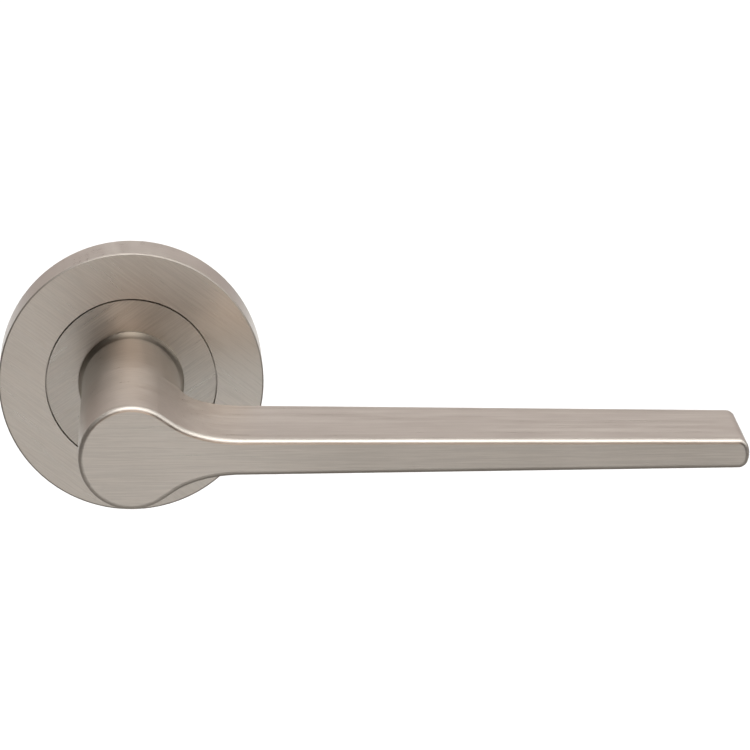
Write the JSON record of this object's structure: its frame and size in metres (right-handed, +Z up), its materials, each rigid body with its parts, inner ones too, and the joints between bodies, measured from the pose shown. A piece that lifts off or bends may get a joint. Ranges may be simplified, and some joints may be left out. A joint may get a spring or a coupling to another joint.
{
  "type": "door lever handle",
  "caption": "Sprung lever handle on a round rose, with a flat blade grip, a square spindle and bolt-through fixings, for a hinged door.",
  "frame": {"origin": "centre of the rose's back face, on the spindle's axis, where it meets the door", "axes": "+Y along the spindle into the door, +X along the grip towards its tip, +Z up; the handle stands out towards -Y"},
  "size_m": [0.141, 0.1245, 0.052],
  "materials": {
    "satin_nickel": "satin nickel plate, finely brushed",
    "zinc_casting": "bare zinc die casting",
    "zinc_plated_steel": "bright zinc plate",
    "spring_steel": "oiled spring steel",
    "nylon": "moulded nylon",
    "rubber": "soft moulded rubber"
  },
  "bodies": {
    "rose": {"mounting_plate": "zinc_casting", "rose_cover": "satin_nickel", "friction_ring": "rubber", "spring_housing": "satin_nickel", "housing_back_plate": "zinc_plated_steel", "housing_screws": "zinc_plated_steel", "front_bush": "nylon", "rear_bush": "nylon", "neck_washer": "nylon", "through_bolts": "zinc_plated_steel", "bolt_sleeves": "zinc_plated_steel", "wood_screws": "zinc_plated_steel", "return_spring": "spring_steel"},
    "lever": {"lever_handle": "satin_nickel", "spindle": "zinc_plated_steel", "grub_screw": "spring_steel", "drive_cam": "zinc_plated_steel", "thrust_washer": "zinc_plated_steel", "wave_washer": "spring_steel", "circlip": "spring_steel"}
  },
  "joints": [
    {"name": "lever_turn", "type": "hinge", "parent": "rose", "child": "lever", "pos_m": [0, 0, 0], "axis": [0, 1, 0], "range_deg": [0, 40], "stiffness_Nm_per_rad": 0.6, "springref_deg": -28.65, "deforming": ["return_spring"]}
  ]
}
